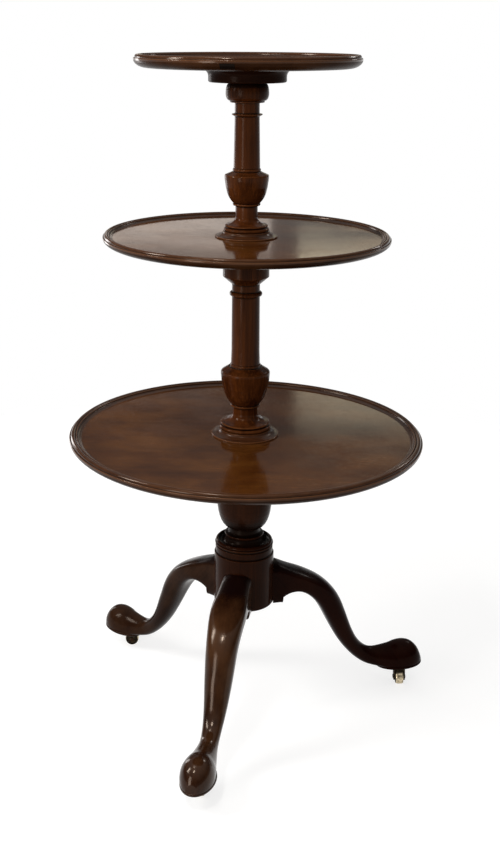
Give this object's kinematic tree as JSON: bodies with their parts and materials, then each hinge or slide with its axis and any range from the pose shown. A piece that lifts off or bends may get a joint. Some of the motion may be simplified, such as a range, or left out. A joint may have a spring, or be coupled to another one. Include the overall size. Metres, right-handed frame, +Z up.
{
  "type": "dumbwaiter table",
  "caption": "Round tiered dumbwaiter table: dished trays that shrink upwards on a turned pillar, cabriole legs with pad feet and small brass castors.",
  "frame": {"origin": "on the floor, at the centre of the bounding box in plan; the pillar's axis stands 16.75 mm behind it, towards +Y", "axes": "+Z up along the pillar, -Y towards the foot of the front leg, +X to the right for someone in front of the table"},
  "size_m": [0.6016, 0.6334, 1.1242],
  "materials": {
    "mahogany": "polished dark mahogany",
    "dark_mahogany": "polished mahogany, darker with age",
    "ebonised_wood": "blackened wood",
    "old_brass": "tarnished brass, brighter where it rolls",
    "black_iron": "forged iron plate with a black skin",
    "steel": "dull screw and rivet steel"
  },
  "bodies": {
    "pillar": {"base_column": "mahogany", "front_leg": "mahogany", "right_leg": "mahogany", "left_leg": "mahogany", "leg_brace": "black_iron", "brace_screw_centre": "steel", "brace_screw_front": "steel", "brace_screw_right": "steel", "brace_screw_left": "steel", "middle_post": "mahogany", "upper_post": "mahogany", "front_castor_plate": "old_brass", "front_plate_screw_1": "steel", "front_plate_screw_2": "steel", "front_plate_screw_3": "steel", "right_castor_plate": "old_brass", "right_plate_screw_1": "steel", "right_plate_screw_2": "steel", "right_plate_screw_3": "steel", "left_castor_plate": "old_brass", "left_plate_screw_1": "steel", "left_plate_screw_2": "steel", "left_plate_screw_3": "steel"},
    "lower_tier": {"lower_tray": "mahogany", "lower_collar": "dark_mahogany"},
    "middle_tier": {"middle_tray": "mahogany", "middle_collar": "dark_mahogany"},
    "top_tier": {"top_tray": "mahogany", "rim_patch": "ebonised_wood", "top_boss": "dark_mahogany", "boss_screw_1": "steel", "boss_screw_2": "steel", "boss_screw_3": "steel", "boss_screw_4": "steel"},
    "front_swivel": {"front_castor_horn": "old_brass", "front_castor_axle": "steel"},
    "front_roller": {"front_castor_wheel": "old_brass"},
    "right_swivel": {"right_castor_horn": "old_brass", "right_castor_axle": "steel"},
    "right_roller": {"right_castor_wheel": "old_brass"},
    "left_swivel": {"left_castor_horn": "old_brass", "left_castor_axle": "steel"},
    "left_roller": {"left_castor_wheel": "old_brass"}
  },
  "joints": [
    {"name": "lower_tier_turn", "type": "hinge", "parent": "pillar", "child": "lower_tier", "pos_m": [0, 0.01675, 0.4744], "axis": [0, 0, 1], "continuous": true},
    {"name": "middle_tier_turn", "type": "hinge", "parent": "pillar", "child": "middle_tier", "pos_m": [0, 0.01675, 0.8154], "axis": [0, 0, 1], "continuous": true},
    {"name": "top_tier_turn", "type": "hinge", "parent": "pillar", "child": "top_tier", "pos_m": [0, 0.01675, 1.0772], "axis": [0, 0, 1], "continuous": true},
    {"name": "front_castor_swivel", "type": "hinge", "parent": "pillar", "child": "front_swivel", "pos_m": [0, -0.27375, 0.0281], "axis": [0, 0, 1], "continuous": true},
    {"name": "front_castor_roll", "type": "hinge", "parent": "front_swivel", "child": "front_roller", "pos_m": [0, -0.25975, 0.0125], "axis": [-1, 0, 0], "continuous": true},
    {"name": "right_castor_swivel", "type": "hinge", "parent": "pillar", "child": "right_swivel", "pos_m": [0.25158, 0.162, 0.0281], "axis": [0, 0, 1], "continuous": true},
    {"name": "right_castor_roll", "type": "hinge", "parent": "right_swivel", "child": "right_roller", "pos_m": [0.25497, 0.14842, 0.0125], "axis": [0.9703, 0.2419, 0], "continuous": true},
    {"name": "left_castor_swivel", "type": "hinge", "parent": "pillar", "child": "left_swivel", "pos_m": [-0.2611, 0.1441, 0.0281], "axis": [0, 0, 1], "continuous": true},
    {"name": "left_castor_roll", "type": "hinge", "parent": "left_swivel", "child": "left_roller", "pos_m": [-0.24752, 0.14748, 0.0125], "axis": [-0.2419, 0.9703, 0], "continuous": true}
  ]
}
